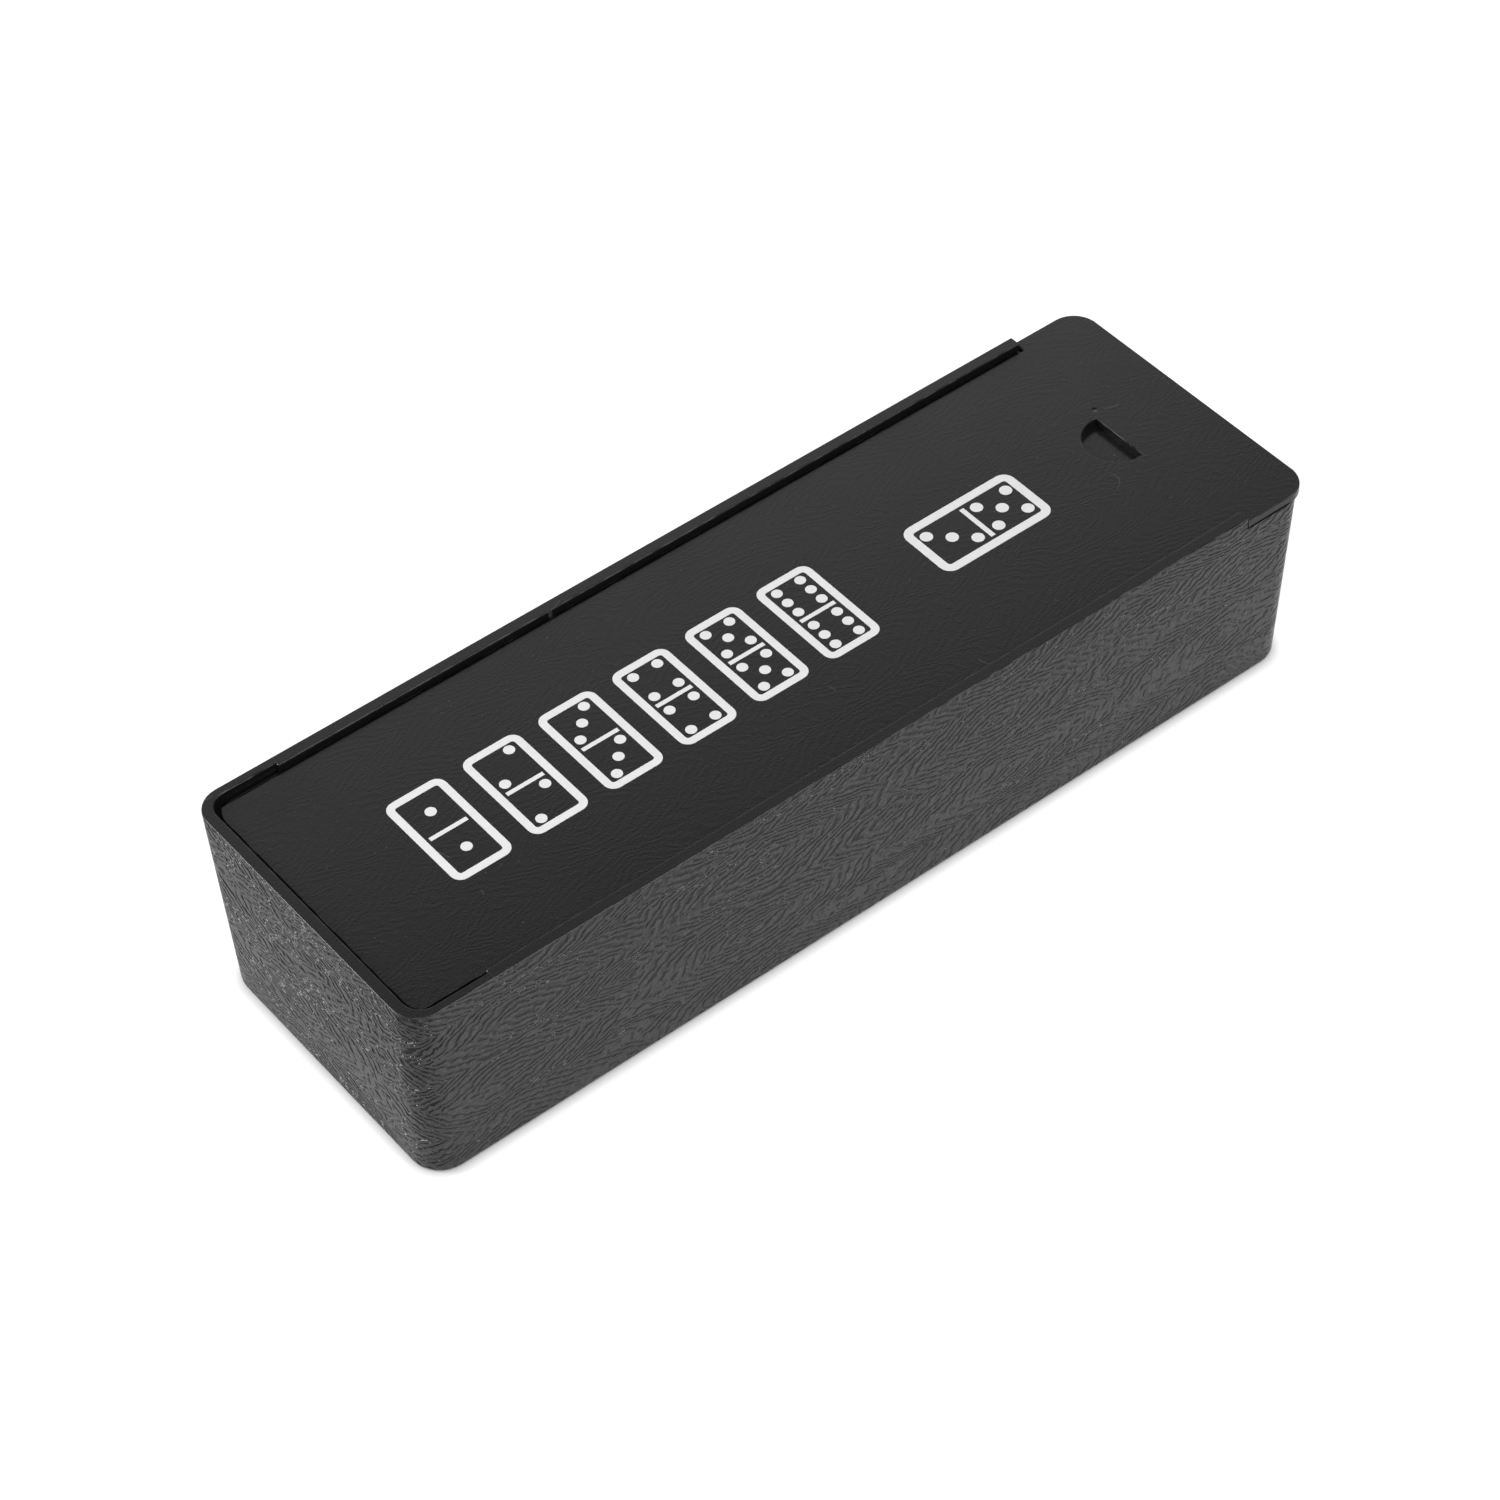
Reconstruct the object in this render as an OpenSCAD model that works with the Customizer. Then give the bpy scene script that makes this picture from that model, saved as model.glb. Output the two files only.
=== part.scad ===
// Domino storage box: a moulded tray, a lid that slides along its rim, and the
// double-six set of 28 tiles that it holds, in four layers of seven.
// +X runs along the box to the end where the lid comes off, and +Z is up.
// The origin is under the middle of the box, on the surface that it stands on.

/* [Tiles] */
// Length of a tile, which lies across the box
tile_length = 50; // [46:0.5:56]
// Width of a tile, which lies along the box
tile_width = 25; // [23:0.5:28]
// Thickness of a tile
tile_thickness = 8; // [7:0.5:10]
// Radius of a tile's edges and corners
tile_edge = 1; // [0.6:0.1:1.4]
// Radius of a pip where it meets the tile's face
pip_radius = 2; // [1.4:0.1:2.4]
// Depth of a pip's hollow
pip_depth = 0.6; // [0.3:0.1:1]
// Distance between neighbouring pips
pip_spacing = 6.5; // [5.5:0.1:7]
// Width of the groove between a tile's halves
divider_width = 1; // [0.6:0.1:1.6]
// Depth of the groove between a tile's halves
divider_depth = 0.5; // [0.3:0.1:0.8]

/* [Tray] */
// Room beside the tiles at each end of the tray's floor
end_play = 1.2; // [0.8:0.1:3]
// Room beside the tiles at each side of the tray's floor
side_play = 1.6; // [1.2:0.1:3]
// Room above the top layer of tiles
head_play = 3.3; // [1:0.1:5]
// Thickness of the tray's floor
floor_thickness = 2; // [1.5:0.1:3]
// Thickness of the two long walls
side_wall = 2.15; // [2:0.05:2.6]
// Thickness of the two short walls
end_wall = 2.65; // [2.4:0.05:3.2]
// How far each outer face leans out between the base and the rim
draft = 1.15; // [0.5:0.05:1.5]
// Corner radius at the rim, seen from above
rim_corner = 4.9; // [4.5:0.1:6]
// Corner radius at the base, seen from above
base_corner = 5.5; // [5:0.1:7]
// Radius of the edge around the base
base_edge = 1; // [0.4:0.1:1.2]

/* [Lid] */
// Thickness of the lid where its edges show
lid_thickness = 1.5; // [1.4:0.1:2]
// How much thicker the lid is underneath, between the tray's walls
panel_drop = 0.9; // [0.8:0.1:1.2]
// How far the lid's face lies below the rim
lid_drop = 1.2; // [0.8:0.1:2]
// Length of the lid's full-width head
head_length = 14.4; // [10:0.1:20]
// How far the head reaches past the tray's end
head_overhang = 0.8; // [0.4:0.1:1.2]
// How far the head's sides lie in from the rim's outer face
head_inset = 0.35; // [0.25:0.05:1]
// Corner radius of the lid's tail
tail_corner = 4.2; // [3.6:0.1:5]
// Corner radius of the thicker panel under the lid
panel_corner = 2.2; // [2:0.1:4]
// Gap around and below that panel
panel_gap = 0.3; // [0.2:0.05:0.4]
// How far the lid lies towards the near side in its grooves
lid_shift = 0.1; // [0:0.05:0.1]

/* [Rails] */
// Thickness of the rim beside the lid
rim_width = 1.5; // [1.4:0.05:1.6]
// Thickness of the rim behind the lid's tail
tail_rim = 2.05; // [1.5:0.05:2.2]
// Thickness of the lip that holds the lid down
lip_thickness = 1.7; // [1.5:0.1:1.8]
// Thickness of the tongue along each side of the lid
tongue_thickness = 0.8; // [0.6:0.1:0.8]
// How far the lip's inner edge lies from the lid's raised face
lip_gap = 0.65; // [0.5:0.05:0.8]
// Clearance beside each tongue
tongue_clearance = 0.2; // [0.15:0.05:0.25]
// Length of the rim at the tail that has no lip
open_rim = 15.5; // [12:0.5:20]
// Gap between the end of each lip and the lid's head
shoulder_gap = 0.4; // [0.2:0.1:0.8]
// Gap between the rim and the lid's tail
tail_gap = 0.7; // [0.5:0.05:0.95]

/* [Nail notch] */
// Width of the notch, which is half of a round
notch_width = 11.8; // [8:0.2:14]
// Distance from the lid's head end to the notch's straight wall
notch_setback = 16.7; // [12:0.1:25]
// How far the straight wall stands in front of the round's middle
notch_straight = 0.7; // [0:0.1:2]
// Depth of the notch
notch_depth = 1.6; // [1:0.05:1.8]

/* [Hidden] */
$fn = 32;
over = 1;
sliver = 0.01;
black_plastic = [0.13, 0.13, 0.14];
ivory_plastic = [0.93, 0.90, 0.82];

// The set: every pair of values from blank to six, counted once
highest = 6;
SET = [for (low = [0 : highest]) for (high = [low : highest]) [low, high]];
per_layer = 7;
layers = 4;
function tile_name(k) = str("domino_", SET[k][0], "_", SET[k][1]);

// Lengths, widths and heights of the tray
floor_length = per_layer * tile_width + 2 * end_play;
floor_width = tile_length + 2 * side_play;
box_length = floor_length + 2 * end_wall + 2 * draft;
box_width = floor_width + 2 * side_wall + 2 * draft;
seat_z = floor_thickness + layers * tile_thickness + head_play;
lid_top_z = seat_z + lid_thickness;
rim_z = lid_top_z + lid_drop;
lip_z = rim_z - lip_thickness;
cavity_corner = rim_corner - side_wall;
floor_corner = 0.75 * cavity_corner;
pocket_corner = rim_corner - rim_width;

// Places along X, from the tail to the head
tray_tail_x = -(box_length + head_overhang) / 2;
tray_mid_x = tray_tail_x + box_length / 2;
lip_start_x = tray_tail_x + open_rim;
lid_head_x = tray_tail_x + box_length + head_overhang;
shoulder_x = lid_head_x - head_length;
lip_end_x = shoulder_x - shoulder_gap;
pocket_x = tray_tail_x + tail_rim;
lid_tail_x = pocket_x + tail_gap;
panel_tail_x = tray_tail_x + end_wall + 2 * panel_gap;
notch_wall_x = lid_head_x - notch_setback;

// Half-widths across Y
lip_inner_y = box_width / 2 - side_wall;
groove_y = box_width / 2 - rim_width;
tongue_y = groove_y - tongue_clearance;
face_y = lip_inner_y - lip_gap;
head_y = box_width / 2 - head_inset;

// A flat rectangle with round corners, centred on its middle
module round_rectangle(length, width, corner) {
    square([length - 2 * corner, width], center = true);
    square([length, width - 2 * corner], center = true);
    for (x = [-1, 1], y = [-1, 1])
        translate([x * (length / 2 - corner), y * (width / 2 - corner)])
            circle(corner);
}

// The same rectangle as a plate that runs from one X and one Z to another
module plate(from_x, to_x, width, corner, from_z, to_z) {
    translate([(from_x + to_x) / 2, 0, from_z])
        linear_extrude(height = to_z - from_z)
            round_rectangle(to_x - from_x, width, corner);
}

// A plain block across the middle of the box
module block(from_x, to_x, width, from_z, to_z) {
    translate([from_x, -width / 2, from_z])
        cube([to_x - from_x, width, to_z - from_z]);
}

// A block whose walls lean out as they rise, with a round edge around its base
module leaning_block(base, top, base_r, top_r, from_z, to_z, edge) {
    hull() {
        for (turn = [0 : 30 : 90])
            translate([tray_mid_x, 0, from_z + edge * (1 - cos(turn))])
                linear_extrude(height = sliver)
                    round_rectangle(base[0] - 2 * edge * (1 - sin(turn)),
                        base[1] - 2 * edge * (1 - sin(turn)), base_r);
        translate([tray_mid_x, 0, to_z - sliver])
            linear_extrude(height = sliver)
                round_rectangle(top[0], top[1], top_r);
    }
}

// The tray: leaning walls, a seat for the lid, and a lip along each side
module tray() {
    color(black_plastic)
        difference() {
            leaning_block([floor_length + 2 * end_wall, floor_width + 2 * side_wall],
                [box_length, box_width], base_corner, rim_corner, 0, rim_z, base_edge);
            leaning_block([floor_length, floor_width],
                [box_length - 2 * end_wall, box_width - 2 * side_wall],
                floor_corner, cavity_corner, floor_thickness, seat_z + over, base_edge);
            // Pocket in the rim around the lid's tail
            plate(pocket_x, lip_start_x + pocket_corner, 2 * groove_y, pocket_corner,
                seat_z, lip_z);
            difference() {
                plate(pocket_x, lip_start_x + pocket_corner, 2 * groove_y,
                    pocket_corner, lip_z - sliver, rim_z + over);
                block(lip_start_x, lip_start_x + 2 * pocket_corner, box_width,
                    lip_z - over, rim_z + 2 * over);
            }
            // Grooves for the tongues, and the way between the lips
            block(lip_start_x - over, lip_end_x + over, 2 * groove_y, seat_z, lip_z);
            block(lip_start_x - over, lip_end_x + over, 2 * lip_inner_y,
                lip_z - over, rim_z + over);
            // The head's seat, open at the end and at both sides
            block(lip_end_x, lid_head_x + over, box_width + 2 * over, seat_z,
                rim_z + over);
            // The low way through the end wall for the panel under the lid
            block(shoulder_x, lid_head_x + over, 2 * (face_y + panel_gap),
                seat_z - panel_drop - panel_gap, seat_z + over);
        }
}

// The half-round hollow whose straight wall a fingernail pushes against
module nail_notch() {
    radius = notch_width / 2;
    round_x = notch_wall_x - notch_straight;
    intersection() {
        translate([round_x, 0, lid_top_z - notch_depth])
            cylinder(h = notch_depth + over, r = radius);
        block(round_x - radius - over, notch_wall_x, notch_width + 2 * over,
            lid_top_z - notch_depth - over, lid_top_z + 2 * over);
    }
}

// The lid: a plate with a tongue along each side, a full-width head, and a
// thicker panel that lies between the tray's walls
module lid() {
    color(black_plastic)
        translate([0, -lid_shift, 0])
        difference() {
            union() {
                plate(panel_tail_x, lid_head_x, 2 * face_y, panel_corner,
                    seat_z - panel_drop, lid_top_z);
                plate(lid_tail_x, lid_head_x - rim_corner, 2 * tongue_y, tail_corner,
                    seat_z, lid_top_z);
                difference() {
                    plate(shoulder_x - rim_corner, lid_head_x, 2 * head_y, rim_corner,
                        seat_z, lid_top_z);
                    block(shoulder_x - 2 * rim_corner, shoulder_x, box_width,
                        seat_z - over, lid_top_z + over);
                }
            }
            for (side = [-1, 1])
                translate([0, side * (face_y + tongue_y) / 2, 0])
                    block(lid_tail_x - over, shoulder_x, tongue_y - face_y,
                        seat_z + tongue_thickness, lid_top_z + over);
            nail_notch();
        }
}

// Places of the pips for one value, in steps of the pip spacing
function pips(value) = concat(
    value % 2 == 1 ? [[0, 0]] : [],
    value > 1 ? [[-1, -1], [1, 1]] : [],
    value > 3 ? [[-1, 1], [1, -1]] : [],
    value == highest ? [[-1, 0], [1, 0]] : []);

// The blank of a tile, with every edge rounded, standing on z = 0
module tile_blank() {
    intersection() {
        linear_extrude(height = tile_thickness)
            round_rectangle(tile_width, tile_length, tile_edge);
        translate([0, tile_length / 2, tile_thickness / 2])
            rotate([90, 0, 0])
                linear_extrude(height = tile_length)
                    round_rectangle(tile_width, tile_thickness, tile_edge);
        translate([-tile_width / 2, 0, tile_thickness / 2])
            rotate([90, 0, 90])
                linear_extrude(height = tile_width)
                    round_rectangle(tile_length, tile_thickness, tile_edge);
    }
}

// One tile of the set in its place: pips are parts of a ball, pressed in from above
module domino(k) {
    gap = 2 * end_play / (per_layer + 1);
    column = k % per_layer;
    x = tray_mid_x - floor_length / 2 + gap + tile_width / 2 + column * (tile_width + gap);
    slip = 0.2 * side_play * sin(137.5 * k);
    ball = (pip_radius * pip_radius + pip_depth * pip_depth) / (2 * pip_depth);
    color(ivory_plastic)
        translate([x, slip, floor_thickness + floor(k / per_layer) * tile_thickness])
            difference() {
                tile_blank();
                for (half = [0, 1], place = pips(SET[k][half]))
                    translate([place[0] * pip_spacing,
                            (half - 0.5) * tile_length / 2 + place[1] * pip_spacing,
                            tile_thickness + ball - pip_depth])
                        sphere(ball);
                translate([0, 0, tile_thickness])
                    cube([tile_width - 4 * tile_edge, divider_width, 2 * divider_depth],
                        center = true);
            }
}

tray();
lid();
for (k = [0 : len(SET) - 1])
    domino(k);
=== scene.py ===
from math import cos, pi, radians, sin

import bmesh
import bpy
from mathutils import Matrix, Vector


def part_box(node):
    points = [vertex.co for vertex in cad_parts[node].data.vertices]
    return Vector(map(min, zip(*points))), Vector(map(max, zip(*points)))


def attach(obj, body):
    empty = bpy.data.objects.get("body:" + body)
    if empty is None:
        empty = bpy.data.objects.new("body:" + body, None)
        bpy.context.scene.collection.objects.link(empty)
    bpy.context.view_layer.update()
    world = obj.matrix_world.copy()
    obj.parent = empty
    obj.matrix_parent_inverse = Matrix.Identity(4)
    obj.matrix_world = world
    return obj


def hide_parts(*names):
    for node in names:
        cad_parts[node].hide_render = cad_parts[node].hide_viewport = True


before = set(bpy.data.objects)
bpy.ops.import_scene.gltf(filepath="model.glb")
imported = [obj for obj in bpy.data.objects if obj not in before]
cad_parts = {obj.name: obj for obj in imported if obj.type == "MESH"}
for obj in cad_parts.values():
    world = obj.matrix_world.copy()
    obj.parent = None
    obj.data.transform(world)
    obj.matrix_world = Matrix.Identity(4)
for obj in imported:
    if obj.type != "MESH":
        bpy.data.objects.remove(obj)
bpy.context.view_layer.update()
scene = bpy.context.scene
scene.view_settings.view_transform = "Standard"


# Camera: a long lens on a stand, looking down over the corner where the box's
# tail meets its near side, and tipped very slightly.
AZIMUTH, ELEVATION, TIP = radians(-37.10), radians(46.54), radians(-2.21)
AIM = Vector((-0.0064, -0.0021, 0.0192))
CAMERA_DISTANCE = 0.700
SENSOR_WIDTH, LENS = 36, 101.96

camera_data = bpy.data.cameras.new("camera")
camera_data.sensor_fit = "HORIZONTAL"
camera_data.sensor_width = SENSOR_WIDTH
camera_data.lens = LENS
camera = bpy.data.objects.new("camera", camera_data)
scene.collection.objects.link(camera)
scene.camera = camera
back = Vector((sin(AZIMUTH) * cos(ELEVATION), -cos(AZIMUTH) * cos(ELEVATION),
               sin(ELEVATION)))
right = Vector((cos(AZIMUTH), sin(AZIMUTH), 0))
turn = Matrix((right, back.cross(right), back)).transposed()
turn = turn @ Matrix.Rotation(TIP, 3, "Z")
camera.matrix_world = (Matrix.Translation(AIM + back * CAMERA_DISTANCE)
                       @ turn.to_4x4())


# Studio: a wide white table under a tent that is grey low down and dark overhead,
# with a large lamp beside the camera, a bright one low in front, a small one to
# the left behind, and a white panel far behind the box. The table glows a little,
# so that it stays white. Near the box's foot that glow is darkened by ambient
# occlusion, a painted shadow, which also darkens the table where the plastic
# reflects it. Seen in the plastic, it is dark past the tail's end and lighter
# beside the box.
TABLE_SIZE = 6.0
TABLE_Z = -0.00005
TABLE_WHITE = (0.30, 0.30, 0.30, 1)
TABLE_GLOW = 0.82
TABLE_GLOSS_X, TABLE_GLOSS = (-0.115, -0.088), (0.0, 0.56)
FOOT_SHADE, FOOT_GLOSS = 0.0020, 0.6
TENT_LOW, TENT_HIGH = 0.47, 0.075
TENT_FALL = (sin(radians(40)), sin(radians(55)))


def add(tree, kind, sockets=None, **settings):
    """A shader node with its settings, and a value or a link in each socket."""
    made = tree.nodes.new("ShaderNode" + kind)
    for name, value in settings.items():
        setattr(made, name, value)
    for name, value in (sockets or {}).items():
        if isinstance(value, bpy.types.NodeSocket):
            tree.links.new(value, made.inputs[name])
        else:
            made.inputs[name].default_value = value
    return made


def math(tree, operation, *values):
    """The result of one Math node, not clamped."""
    return add(tree, "Math", dict(enumerate(values)), operation=operation).outputs[0]


def new_material(name):
    """An empty material and its tree."""
    material = bpy.data.materials.new(name)
    material.use_nodes = True
    material.node_tree.nodes.clear()
    return material, material.node_tree


def finish_material(tree, **sockets):
    """The Principled shader that ends a material, from its named sockets."""
    named = {name.replace("_", " "): value for name, value in sockets.items()}
    shader = add(tree, "BsdfPrincipled", named)
    add(tree, "OutputMaterial", {"Surface": shader.outputs[0]})


def new_piece(name, mesh, *materials):
    """An object at the origin that shows a mesh with its materials."""
    piece = bpy.data.objects.new(name, mesh)
    scene.collection.objects.link(piece)
    for material in materials:
        mesh.materials.append(material)
    return piece


table_white, tree = new_material("white table")
light_path = add(tree, "LightPath").outputs
# Painted shadow: ambient occlusion darkens the table's glow near the box's foot.
shade = add(tree, "AmbientOcclusion", {"Distance": FOOT_SHADE},
            samples=4).outputs["AO"]
seen = math(tree, "MAXIMUM", light_path["Is Camera Ray"],
            light_path["Is Transmission Ray"])
x = add(tree, "SeparateXYZ", {"Vector": add(tree, "TexCoord").outputs["Object"]})
gloss = add(tree, "MapRange", {"Value": x.outputs["X"],
                               "From Min": TABLE_GLOSS_X[0],
                               "From Max": TABLE_GLOSS_X[1],
                               "To Min": TABLE_GLOSS[0],
                               "To Max": TABLE_GLOSS[1]}).outputs[0]
gloss = math(tree, "MULTIPLY", gloss, math(tree, "MAXIMUM", shade, FOOT_GLOSS))
glow = math(tree, "MULTIPLY_ADD", math(tree, "MULTIPLY", seen, shade), TABLE_GLOW,
            math(tree, "MULTIPLY", light_path["Is Glossy Ray"], gloss))
finish_material(tree, Base_Color=TABLE_WHITE, Roughness=1.0, Specular_IOR_Level=0.0,
                Emission_Color=(1, 1, 1, 1), Emission_Strength=glow)

shape = bmesh.new()
bmesh.ops.create_grid(shape, x_segments=1, y_segments=1, size=TABLE_SIZE / 2)
bmesh.ops.translate(shape, verts=shape.verts, vec=(0, 0, TABLE_Z))
table_mesh = bpy.data.meshes.new("table")
shape.to_mesh(table_mesh)
shape.free()
new_piece("table", table_mesh, table_white)

tent = bpy.data.worlds.new("tent")
tent.use_nodes = True
scene.world = tent
tree = tent.node_tree
tree.nodes.clear()
direction = add(tree, "TexCoord").outputs["Generated"]
height = add(tree, "SeparateXYZ", {"Vector": direction}).outputs["Z"]
grey = add(tree, "MapRange", {"Value": height, "From Min": TENT_FALL[0],
                              "From Max": TENT_FALL[1], "To Min": TENT_LOW,
                              "To Max": TENT_HIGH}, interpolation_type="SMOOTHSTEP")
seen = math(tree, "MAXIMUM", grey.outputs[0],
            add(tree, "LightPath").outputs["Is Camera Ray"])
glow = add(tree, "Background", {"Color": (1, 1, 1, 1), "Strength": seen})
add(tree, "OutputWorld", {"Surface": glow.outputs[0]})


def soft_box(name, place, aim, width, height, watts):
    """A square lamp with a white cloth front, turned towards a point."""
    lamp = bpy.data.lights.new(name, "AREA")
    lamp.shape = "RECTANGLE"
    lamp.size, lamp.size_y = width, height
    lamp.energy = watts
    holder = bpy.data.objects.new(name, lamp)
    scene.collection.objects.link(holder)
    away = Vector(place) - Vector(aim)
    holder.matrix_world = (Matrix.Translation(place)
                           @ away.to_track_quat("Z", "Y").to_matrix().to_4x4())
    holder.visible_camera = False


soft_box("lamp by the camera", (-0.45, -0.55, 0.95), (0, 0, 0), 0.70, 0.70, 6.0)
soft_box("lamp in front", (0.20, -0.78, 0.62), (0, 0, 0), 0.25, 0.25, 3.5)
soft_box("lamp behind left", (-0.75, 0.52, 0.43), (0, 0, 0), 0.32, 0.32, 9.0)
soft_box("panel behind", (0.55, 0.724, 0.545), (0.55, 0, 0.545), 0.75, 0.91, 1.03)


# Tray: one black moulding of hard plastic. The mould gives its outer walls a
# shallow grain of wavy rings; the rim, the lips and the inside are smooth. The
# seat's narrow edges stay square, because a rounding there would fold its face.
SHARP = radians(35)
MERGE_GAP = 1e-6
FLAT_WITHIN = radians(1)
WALL_FLAT_WITHIN = radians(3)
MOULD_EDGE, EDGE_STEPS = 0.00018, 3
LID_SHOWN = 0.0015
SEAT_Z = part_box("lid")[1].z - LID_SHOWN
LEVEL_WITHIN = 0.00005
BLACK = (0.0060, 0.0060, 0.0066, 1)
DUST_GREY = (0.42, 0.42, 0.42, 1)
LINT_LIGHT, SMUDGE_ROUGHER = 0.09, 0.05
TRAY_ROUGH, TRAY_DUST = 0.25, 0.50
FINE_SCALE, FINE_DEPTH, WALL_FINE_DEPTH = 2500.0, 0.00002, 0.00005
GRAIN_LONG, GRAIN_HIGH = 0.0500, 0.0136
GRAIN_PITCH = 0.00108
GRAIN_DEPTH = 0.00028
GRAIN_WANDER = 0.12
GRAIN_STRETCH, GRAIN_POINTED = 2.4, 1.35
GRAIN_RIPPLE, GRAIN_WAVES = 0.55, 1.0
END_X, END_DEEPER = (0.086, 0.090), 1.6
GRAIN_CREST = 1.5
# Edge grey and its patch scale: rubbed wear and a painted highlight on the rounded edges.
EDGE_WEAR_AND_HIGHLIGHT_GREY, RUB_AND_HIGHLIGHT_SCALE = (0.045, 0.045, 0.047, 1), 350.0
WALL_FOOT, UPRIGHT = 0.002, 0.8
WITNESS_X, WITNESS_WIDE, WITNESS_HIGH = -0.0774, 0.00012, 0.00003


def merged_copy(node, flat_within=FLAT_WITHIN):
    """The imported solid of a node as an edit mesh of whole, merged faces."""
    shape = bmesh.new()
    shape.from_mesh(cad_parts[node].data)
    bmesh.ops.remove_doubles(shape, verts=shape.verts, dist=MERGE_GAP)
    bmesh.ops.dissolve_limit(shape, angle_limit=flat_within, verts=shape.verts,
                             edges=shape.edges)
    return shape


def moulded_mesh(shape, name, crisp_z=-1.0):
    """The edit mesh as a mesh, with its outer sharp edges marked for rounding,
    apart from those that lie at one height."""
    marks = shape.edges.layers.float.new("bevel_weight_edge")
    for edge in shape.edges:
        crisp = all(abs(end.co.z - crisp_z) < LEVEL_WITHIN for end in edge.verts)
        if edge.is_manifold and edge.calc_face_angle_signed() > SHARP and not crisp:
            edge[marks] = 1.0
    mesh = bpy.data.meshes.new(name)
    shape.to_mesh(mesh)
    shape.free()
    for kept in ("custom_normal", "sharp_face"):
        if mesh.attributes.get(kept):
            mesh.attributes.remove(mesh.attributes[kept])
    mesh.shade_smooth()
    mesh.set_sharp_from_angle(angle=SHARP)
    return mesh


def round_edges(piece, width):
    """Breaks the marked edges by a small radius, in the piece's last material."""
    edge = piece.modifiers.new("mould edge", "BEVEL")
    edge.width = width
    edge.material = len(piece.data.materials) - 1
    edge.segments = EDGE_STEPS
    edge.limit_method = "WEIGHT"
    edge.use_clamp_overlap = True
    edge.harden_normals = True


def dust_group():
    """Light specks of dust, curled lint and faint smudges, as three masks."""
    group = bpy.data.node_groups.new("dust", "ShaderNodeTree")
    face = group.interface
    face.new_socket("Vector", in_out="INPUT", socket_type="NodeSocketVector")
    for name, value in (("Cell", 0.0012), ("Share", 0.3), ("Size", 0.14)):
        socket = face.new_socket(name, in_out="INPUT", socket_type="NodeSocketFloat")
        socket.default_value = value
    for name in ("Specks", "Lint", "Smudges"):
        face.new_socket(name, in_out="OUTPUT", socket_type="NodeSocketFloat")
    given = group.nodes.new("NodeGroupInput").outputs
    taken = group.nodes.new("NodeGroupOutput").inputs
    cells = add(group, "VectorMath", {0: given["Vector"],
                                      "Scale": math(group, "DIVIDE", 1.0, given["Cell"])},
                operation="SCALE").outputs["Vector"]
    cloud = add(group, "TexNoise", {"Vector": cells, "Scale": 0.09, "Detail": 3.0,
                                    "Roughness": 0.6}).outputs[0]
    smudges = add(group, "MapRange", {"Value": cloud, "From Min": 0.42,
                                      "From Max": 0.75}).outputs[0]
    group.links.new(smudges, taken["Smudges"])

    specks = add(group, "TexVoronoi", {"Vector": cells, "Scale": 1.0}).outputs
    luck = add(group, "SeparateColor", {"Color": specks["Color"]}).outputs
    chosen = math(group, "LESS_THAN", luck["Red"], given["Share"])
    radius = math(group, "MULTIPLY", given["Size"],
                  math(group, "MULTIPLY_ADD", luck["Green"], 0.8, 0.2))
    inside = add(group, "MapRange", {"Value": specks["Distance"], "From Min": radius,
                                     "From Max": math(group, "MULTIPLY", radius, 0.3),
                                     "To Min": 0.0, "To Max": 1.0}).outputs[0]
    bright = math(group, "MULTIPLY", math(group, "POWER", luck["Blue"], 2.0), chosen)
    crowd = math(group, "MULTIPLY_ADD", smudges, 1.2, 0.4)
    group.links.new(math(group, "MULTIPLY", math(group, "MULTIPLY", inside, bright),
                         crowd), taken["Specks"])

    loose = add(group, "VectorMath", {0: cells, "Scale": 0.105},
                operation="SCALE").outputs["Vector"]
    strands = add(group, "TexVoronoi", {"Vector": loose, "Scale": 1.0},
                  voronoi_dimensions="2D").outputs
    luck = add(group, "SeparateColor", {"Color": strands["Color"]}).outputs
    chosen = math(group, "LESS_THAN", luck["Red"],
                  math(group, "MULTIPLY", given["Share"], 0.12))
    offset = add(group, "VectorMath", {0: loose, 1: strands["Position"]},
                 operation="SUBTRACT").outputs["Vector"]
    turned = add(group, "VectorRotate", {"Vector": offset,
                                         "Angle": math(group, "MULTIPLY", luck["Green"],
                                                       2 * pi)},
                 rotation_type="Z_AXIS").outputs[0]
    axis = add(group, "SeparateXYZ", {"Vector": turned}).outputs
    curl = math(group, "MULTIPLY_ADD", math(group, "MULTIPLY", axis["X"], axis["X"]),
                math(group, "MULTIPLY_ADD", luck["Blue"], 6.0, -3.0), axis["Y"])
    thin = add(group, "MapRange", {"Value": math(group, "ABSOLUTE", curl),
                                   "From Min": 0.008, "From Max": 0.003}).outputs[0]
    short = math(group, "LESS_THAN", math(group, "ABSOLUTE", axis["X"]),
                 math(group, "MULTIPLY_ADD", luck["Blue"], 0.14, 0.05))
    group.links.new(math(group, "MULTIPLY", math(group, "MULTIPLY", thin, short), chosen),
                    taken["Lint"])
    return group


dust = dust_group()


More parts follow.
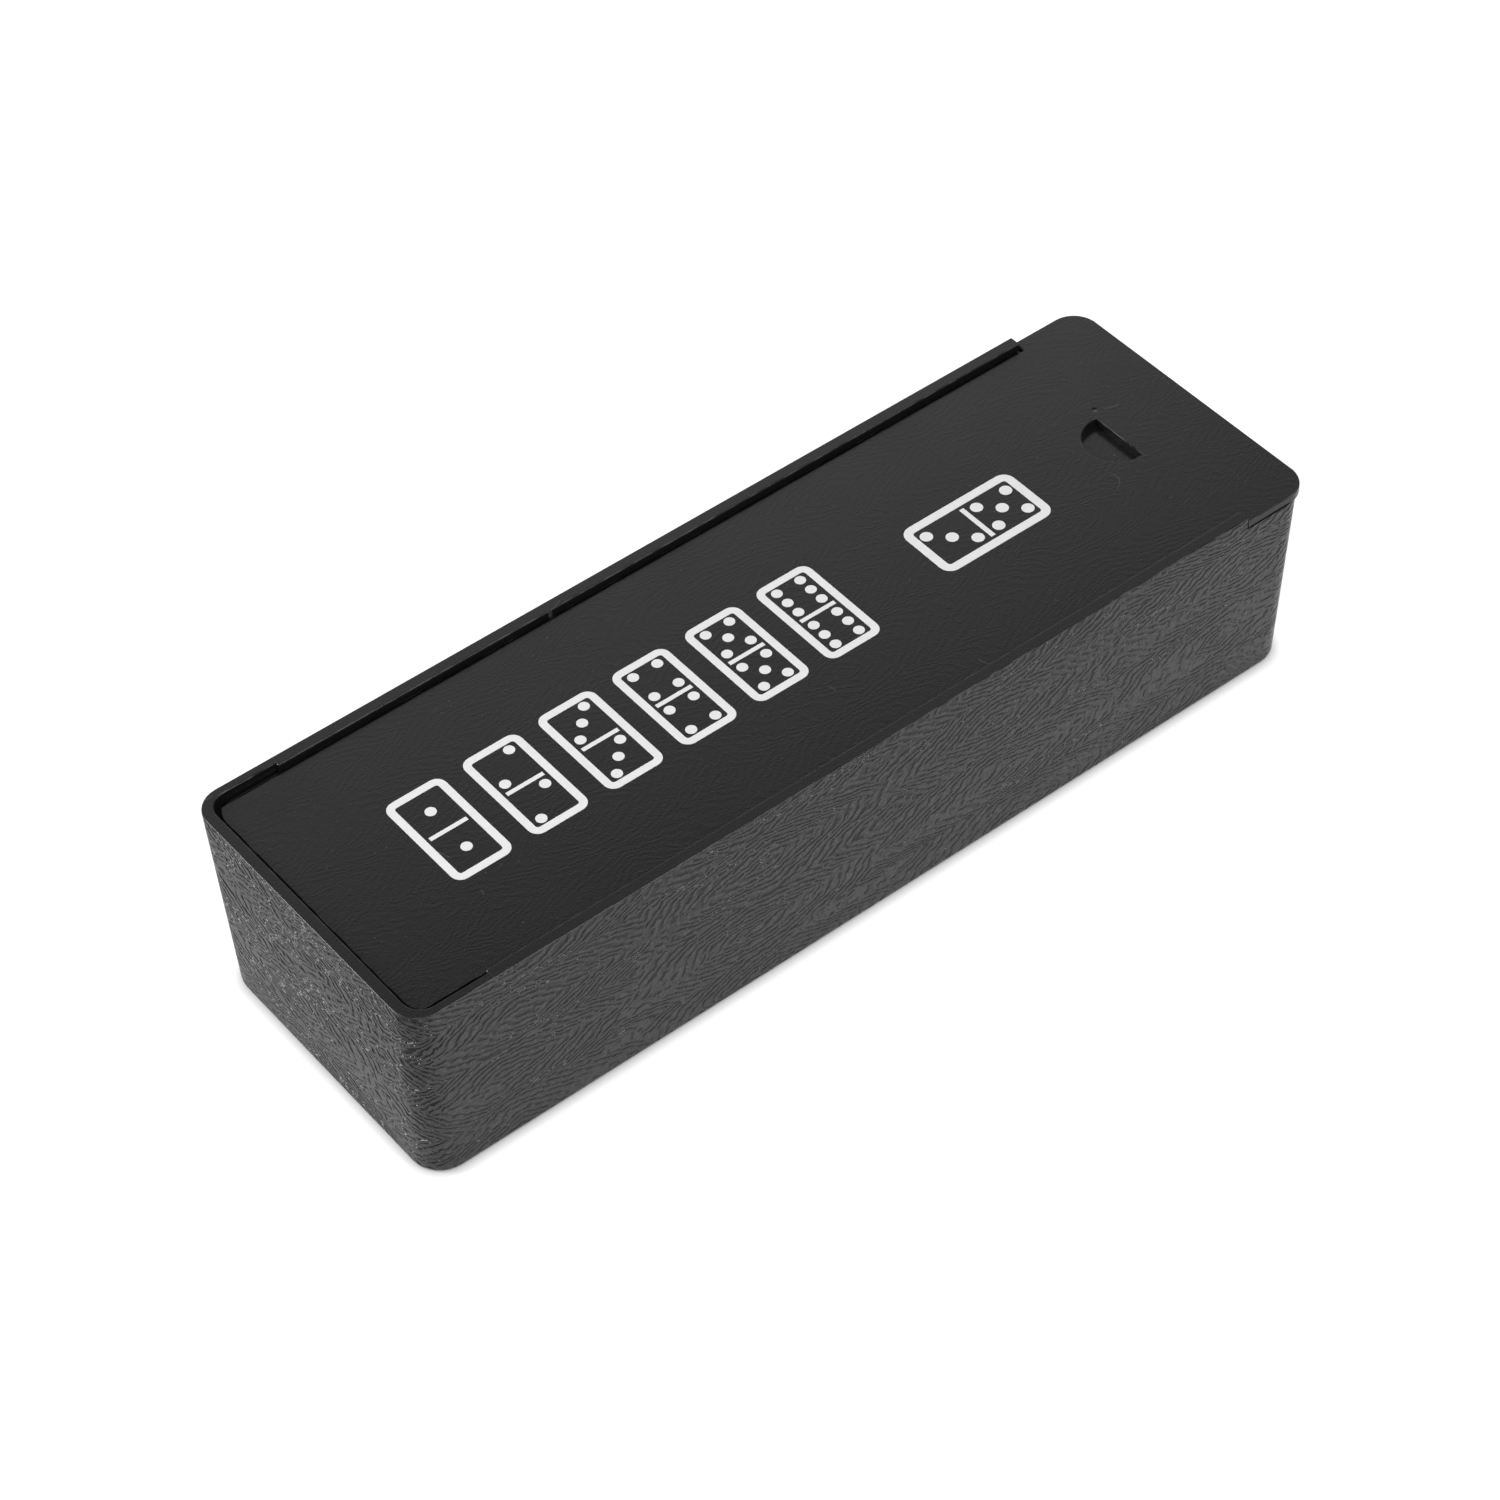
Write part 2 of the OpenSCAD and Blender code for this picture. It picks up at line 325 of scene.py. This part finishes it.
def black_plastic(name, roughness, share, fine_depth, relief, depth):
    """Black moulded plastic with dust on it, and the relief that the mould gives it."""
    material, tree = new_material(name)
    place = add(tree, "TexCoord").outputs["Object"]
    soil = add(tree, "Group", node_tree=dust)
    tree.links.new(place, soil.inputs["Vector"])
    soil.inputs["Share"].default_value = share
    light = math(tree, "MAXIMUM", soil.outputs["Specks"],
                 math(tree, "MULTIPLY", soil.outputs["Lint"], LINT_LIGHT))
    colour = add(tree, "Mix", {"Factor": light, "A": BLACK, "B": DUST_GREY},
                 data_type="RGBA")
    rough = add(tree, "MapRange", {"Value": soil.outputs["Smudges"],
                                   "To Min": roughness, "To Max": roughness + SMUDGE_ROUGHER})
    fine = add(tree, "TexNoise", {"Vector": place, "Scale": FINE_SCALE,
                                  "Detail": 2.0}).outputs[0]
    normal = add(tree, "Bump", {"Height": fine, "Strength": 1.0,
                                "Distance": fine_depth}).outputs[0]
    normal = add(tree, "Bump", {"Height": relief(tree, place), "Strength": 1.0,
                                "Distance": depth, "Normal": normal}).outputs[0]
    finish_material(tree, Base_Color=colour.outputs["Result"], IOR=1.5,
                    Roughness=rough.outputs[0], Normal=normal)
    return material


def grain(tree, along, across):
    """The height of the moulds' grain: rings around long flat eyes, in rows."""
    flat = add(tree, "CombineXYZ", {"X": math(tree, "DIVIDE", along, GRAIN_LONG),
                                    "Y": math(tree, "DIVIDE", across, GRAIN_HIGH)})
    drift = add(tree, "TexNoise", {"Vector": flat.outputs[0], "Scale": 2.2,
                                   "Detail": 1.0}, noise_dimensions="2D").outputs["Color"]
    shift = add(tree, "VectorMath", {0: drift, 1: (0.5, 0.5, 0.5)},
                operation="SUBTRACT").outputs["Vector"]
    wander = add(tree, "VectorMath", {0: shift, "Scale": GRAIN_WANDER * 2},
                 operation="SCALE").outputs["Vector"]
    place_on_wall = add(tree, "VectorMath", {0: flat.outputs[0], 1: wander},
                        operation="ADD").outputs["Vector"]
    middle = add(tree, "TexVoronoi", {"Vector": place_on_wall, "Scale": 1.0,
                                      "Exponent": GRAIN_POINTED, "Randomness": 0.15},
                 voronoi_dimensions="2D", distance="MINKOWSKI").outputs["Position"]
    away = add(tree, "VectorMath", {0: place_on_wall, 1: middle},
               operation="SUBTRACT").outputs["Vector"]
    axis = add(tree, "SeparateXYZ", {"Vector": away}).outputs
    rings = [math(tree, "POWER", math(tree, "ABSOLUTE",
                                      math(tree, "MULTIPLY", axis[name], scale)),
                  GRAIN_POINTED)
             for name, scale in (("X", GRAIN_LONG / GRAIN_STRETCH / GRAIN_PITCH),
                                 ("Y", GRAIN_HIGH / GRAIN_PITCH))]
    eye = math(tree, "POWER", math(tree, "ADD", *rings), 1 / GRAIN_POINTED)
    fine = add(tree, "CombineXYZ", {"X": math(tree, "DIVIDE", along, GRAIN_PITCH),
                                    "Y": math(tree, "DIVIDE", across, GRAIN_PITCH)})
    ripple = add(tree, "TexNoise", {"Vector": fine.outputs[0], "Scale": GRAIN_RIPPLE,
                                    "Detail": 1.0}, noise_dimensions="2D").outputs[0]
    phase = math(tree, "ADD",
                 math(tree, "MULTIPLY", eye, 2 * pi),
                 math(tree, "MULTIPLY", ripple, 2 * pi * GRAIN_WAVES))
    ridge = math(tree, "MULTIPLY_ADD", math(tree, "SINE", phase), 0.5, 0.5)
    broken = add(tree, "TexNoise", {"Vector": fine.outputs[0], "Scale": 0.7,
                                    "Detail": 1.0}, noise_dimensions="2D").outputs[0]
    depth = add(tree, "MapRange", {"Value": broken, "From Min": 0.35, "From Max": 0.62,
                                   "To Min": 0.35, "To Max": 1.0}).outputs[0]
    return math(tree, "MULTIPLY", math(tree, "POWER", ridge, GRAIN_CREST), depth)


def wall_grain(tree, place):
    """The grain on the upright walls, which runs round the corners and is deeper
    at the two ends."""
    axis = add(tree, "SeparateXYZ", {"Vector": place}).outputs
    height = grain(tree, math(tree, "SUBTRACT", axis["X"], axis["Y"]), axis["Z"])
    ends = add(tree, "MapRange", {"Value": math(tree, "ABSOLUTE", axis["X"]),
                                  "From Min": END_X[0], "From Max": END_X[1],
                                  "To Min": 1.0, "To Max": END_DEEPER}).outputs[0]
    return math(tree, "MULTIPLY", height, ends)


def witness_line(tree, place):
    """The fine line that a joint of the mould leaves across the rim."""
    x = add(tree, "SeparateXYZ", {"Vector": place}).outputs["X"]
    away = math(tree, "ABSOLUTE", math(tree, "SUBTRACT", x, WITNESS_X))
    return add(tree, "MapRange", {"Value": away, "From Min": WITNESS_WIDE,
                                  "From Max": 0.0}).outputs[0]


def worn_and_highlit_edge(name):
    """The same plastic on the rounded edges, a little lighter here and there: partly rubbed
    wear, partly a painted highlight along the edges.
    """
    material, tree = new_material(name)
    place = add(tree, "TexCoord").outputs["Object"]
    rub_and_highlight_patches = add(tree, "TexNoise", {"Vector": place, "Scale": RUB_AND_HIGHLIGHT_SCALE,
                                 "Detail": 4.0}).outputs[0]
    wear_and_highlight = add(tree, "MapRange", {"Value": rub_and_highlight_patches, "From Min": 0.45,
                                  "From Max": 0.65}).outputs[0]
    # Lighter grey patches on every rounded edge: partly rubbed wear, partly a painted
    # highlight.
    colour = add(tree, "Mix", {"Factor": wear_and_highlight, "A": BLACK, "B": EDGE_WEAR_AND_HIGHLIGHT_GREY},
                 data_type="RGBA")
    finish_material(tree, Base_Color=colour.outputs["Result"], IOR=1.5,
                    Roughness=add(tree, "MapRange", {"Value": wear_and_highlight, "To Min": 0.30,
                                                     "To Max": 0.42}).outputs[0])
    return material


tray_shape = merged_copy("tray", WALL_FLAT_WITHIN)
for face in tray_shape.faces:
    middle = face.calc_center_median()
    outwards = face.normal.x * middle.x + face.normal.y * middle.y > 0
    lowest = min(corner.co.z for corner in face.verts)
    if outwards and lowest < WALL_FOOT and abs(face.normal.z) < UPRIGHT:
        face.material_index = 1
tray = new_piece("tray_moulding", moulded_mesh(tray_shape, "tray_moulding", SEAT_Z),
                 black_plastic("tray black plastic", TRAY_ROUGH, TRAY_DUST, FINE_DEPTH,
                               witness_line, WITNESS_HIGH),
                 black_plastic("tray grained plastic", TRAY_ROUGH, TRAY_DUST,
                               WALL_FINE_DEPTH, wall_grain, GRAIN_DEPTH),
                 worn_and_highlit_edge("tray edges"))
round_edges(tray, MOULD_EDGE)
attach(tray, "tray")
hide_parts("tray")


# Lid: a thin flat black moulding with a tongue along each side, which slides in
# the tray's grooves, a full-width head, and a half-round notch for a fingernail.
LID_EDGE = 0.00018
LID_ROUGH, LID_DUST = 0.22, 0.90
LID_GRAIN_DEPTH = 0.000006
GATE_X, GATE_Y, GATE_RADIUS, GATE_PIT = 0.0775, 0.0076, 0.0006, 25.0


def lid_relief(tree, place):
    """A faint grain like the walls', and the pit where the plastic came in."""
    axis = add(tree, "SeparateXYZ", {"Vector": place}).outputs
    flat = add(tree, "CombineXYZ", {"X": axis["X"], "Y": axis["Y"]}).outputs[0]
    gate = add(tree, "VectorMath", {0: flat, 1: (GATE_X, GATE_Y, 0)},
               operation="DISTANCE").outputs["Value"]
    pit = add(tree, "MapRange", {"Value": gate, "From Min": GATE_RADIUS, "From Max": 0.0,
                                 "To Max": GATE_PIT}).outputs[0]
    return math(tree, "SUBTRACT", grain(tree, axis["X"], axis["Y"]), pit)


lid = new_piece("lid_moulding",
                moulded_mesh(merged_copy("lid"), "lid_moulding", SEAT_Z),
                black_plastic("lid black plastic", LID_ROUGH, LID_DUST, FINE_DEPTH,
                              lid_relief, LID_GRAIN_DEPTH),
                worn_and_highlit_edge("lid edges"))
round_edges(lid, LID_EDGE)
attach(lid, "lid")
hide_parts("lid")


# Lid print: white ink pressed on the lid's face, a row of six upright tiles,
# one for each double, and a larger tile lying on its side near the notch.
INK_WHITE = (0.70, 0.70, 0.70, 1)
INK_THICK = 0.00003
LID_TOP_Z = SEAT_Z + LID_SHOWN
ROW_START_X, ROW_PITCH, ROW_Y = -0.0642, 0.0149, 0.0002
TILE_WIDE, TILE_HIGH = 0.0112, 0.0205
OUTLINE, OUTLINE_CORNER = 0.0014, 0.0019
BAR_GAP, BAR_HIGH = 0.0012, 0.0008
PIP_STEP, PIP_RADIUS = 0.0028, 0.00098
PIP_CLOSER, PIP_SIDES, CORNER_STEPS = 0.88, 20, 6
INK_COVER_SCALE, INK_BUMP = 900.0, 0.000004
LYING_X, LYING_Y, LYING_SCALE = 0.0440, -0.0006, 1.15


def printed_tile(shape, values, place):
    """One printed tile: its outline, the bar across its middle, and its pips."""
    drawn = []
    outline = bmesh.ops.create_grid(
        shape, x_segments=1, y_segments=1, size=0.5,
        matrix=Matrix.Diagonal((TILE_WIDE, TILE_HIGH, 1, 1)))["verts"]
    bmesh.ops.bevel(shape, geom=outline, offset=OUTLINE_CORNER, offset_type="OFFSET",
                    segments=CORNER_STEPS, profile=0.5, affect="VERTICES", material=-1)
    frame_face = max(shape.faces, key=lambda face: face.calc_area()
                     if not face.tag else 0)
    inset = bmesh.ops.inset_region(shape, faces=[frame_face], thickness=OUTLINE,
                                   use_boundary=True, use_even_offset=True)["faces"]
    bmesh.ops.delete(shape, geom=[frame_face], context="FACES_ONLY")
    drawn += inset
    bar = bmesh.ops.create_grid(
        shape, x_segments=1, y_segments=1, size=0.5,
        matrix=Matrix.Diagonal((TILE_WIDE - 2 * OUTLINE - BAR_GAP, BAR_HIGH, 1, 1)))
    drawn.append(bar["verts"][0].link_faces[0])
    for half, value in zip((1, -1), values):
        steps = {0: [], 1: [(0, 0)], 2: [(-1, -1), (1, 1)]}
        steps[3] = steps[1] + steps[2]
        steps[4] = steps[2] + [(-1, 1), (1, -1)]
        steps[5] = steps[1] + steps[4]
        steps[6] = steps[4] + [(-1, 0), (1, 0)]
        for across, up in steps[value]:
            middle = (across * PIP_STEP * PIP_CLOSER,
                      half * (TILE_HIGH / 4 - OUTLINE / 4) + up * PIP_STEP, 0)
            pip = bmesh.ops.create_circle(shape, cap_ends=True, segments=PIP_SIDES,
                                          radius=PIP_RADIUS,
                                          matrix=Matrix.Translation(middle))
            drawn.append(pip["verts"][0].link_faces[0])
    for face in drawn:
        face.tag = True
    corners = list({corner for face in drawn for corner in face.verts})
    bmesh.ops.transform(shape, matrix=place, verts=corners)


def ink_mesh(name, tiles):
    """Printed tiles as one layer of ink with a little thickness."""
    shape = bmesh.new()
    for values, place in tiles:
        printed_tile(shape, values, place)
    for face in shape.faces:
        if face.normal.z < 0:
            face.normal_flip()
    raised = bmesh.ops.extrude_face_region(shape, geom=list(shape.faces))["geom"]
    tops = [part for part in raised if isinstance(part, bmesh.types.BMVert)]
    bmesh.ops.translate(shape, verts=tops, vec=(0, 0, INK_THICK))
    bmesh.ops.recalc_face_normals(shape, faces=shape.faces)
    mesh = bpy.data.meshes.new(name)
    shape.to_mesh(mesh)
    shape.free()
    return mesh


ink, tree = new_material("white ink")
place = add(tree, "TexCoord").outputs["Object"]
cover = add(tree, "TexNoise", {"Vector": place, "Scale": INK_COVER_SCALE,
                               "Detail": 3.0}).outputs[0]
tone = add(tree, "MapRange", {"Value": cover, "From Min": 0.3, "From Max": 0.7,
                              "To Min": 0.94, "To Max": 1.0}).outputs[0]
colour = add(tree, "VectorMath", {0: INK_WHITE[:3], "Scale": tone}, operation="SCALE")
finish_material(tree, Base_Color=colour.outputs["Vector"], Roughness=0.55, IOR=1.45,
                Normal=add(tree, "Bump", {"Height": cover, "Strength": 1.0,
                                          "Distance": INK_BUMP}).outputs[0])

row = [((value, value), Matrix.Translation((ROW_START_X + (value - 1) * ROW_PITCH,
                                            ROW_Y, LID_TOP_Z)))
       for value in range(1, 7)]
lying = [((3, 5), Matrix.Translation((LYING_X, LYING_Y, LID_TOP_Z))
          @ Matrix.Rotation(pi / 2, 4, "Z") @ Matrix.Scale(LYING_SCALE, 4))]
for name, tiles in (("print_row_of_doubles", row), ("print_lying_tile", lying)):
    printed = new_piece(name, ink_mesh(name, tiles), ink)
    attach(printed, "lid")


# Tiles: 28 solid tiles of ivory plastic with pressed pips and a groove across
# the middle, both filled with black paint. They lie in the tray in four layers.
IVORY, PALE_IVORY = (0.80, 0.73, 0.57, 1), (0.84, 0.79, 0.65, 1)
PAINT_BLACK = (0.012, 0.012, 0.012, 1)
PAINT_EDGE, PAINT_DEEP, FACE_WITHIN = 0.0015, 0.001, 0.000005
CLOUD_SCALE, SCUFF_SCALE, BRUSH_SCALE = 70.0, 1200.0, 2000.0
SCUFF_BUMP = 0.000001

ivory, tree = new_material("ivory plastic")
place = add(tree, "TexCoord").outputs["Object"]
cloud = add(tree, "TexNoise", {"Vector": place, "Scale": CLOUD_SCALE,
                               "Detail": 3.0}).outputs[0]
tone = add(tree, "Mix", {"Factor": cloud, "A": IVORY, "B": PALE_IVORY},
           data_type="RGBA")
scuff = add(tree, "TexNoise", {"Vector": place, "Scale": SCUFF_SCALE,
                               "Detail": 3.0}).outputs[0]
rough = add(tree, "MapRange", {"Value": scuff, "To Min": 0.22, "To Max": 0.34})
finish_material(tree, Base_Color=tone.outputs["Result"], IOR=1.5,
                Roughness=rough.outputs[0],
                Normal=add(tree, "Bump", {"Height": scuff, "Strength": 1.0,
                                          "Distance": SCUFF_BUMP}).outputs[0])

paint, tree = new_material("black pip paint")
place = add(tree, "TexCoord").outputs["Object"]
brush = add(tree, "TexNoise", {"Vector": place, "Scale": BRUSH_SCALE,
                               "Detail": 2.0}).outputs[0]
rough = add(tree, "MapRange", {"Value": brush, "To Min": 0.25, "To Max": 0.45})
finish_material(tree, Base_Color=PAINT_BLACK, IOR=1.5, Roughness=rough.outputs[0])

for node in sorted(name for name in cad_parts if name.startswith("domino_")):
    low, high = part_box(node)
    tile_shape = merged_copy(node)
    for face in tile_shape.faces:
        middle = face.calc_center_median()
        within = (low.x + PAINT_EDGE < middle.x < high.x - PAINT_EDGE
                  and low.y + PAINT_EDGE < middle.y < high.y - PAINT_EDGE)
        if within and high.z - PAINT_DEEP < middle.z < high.z - FACE_WITHIN:
            face.material_index = 1
    name = node.replace("domino", "tile")
    tile = new_piece(name, moulded_mesh(tile_shape, name), ivory, paint)
    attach(tile, "tray")
    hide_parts(node)
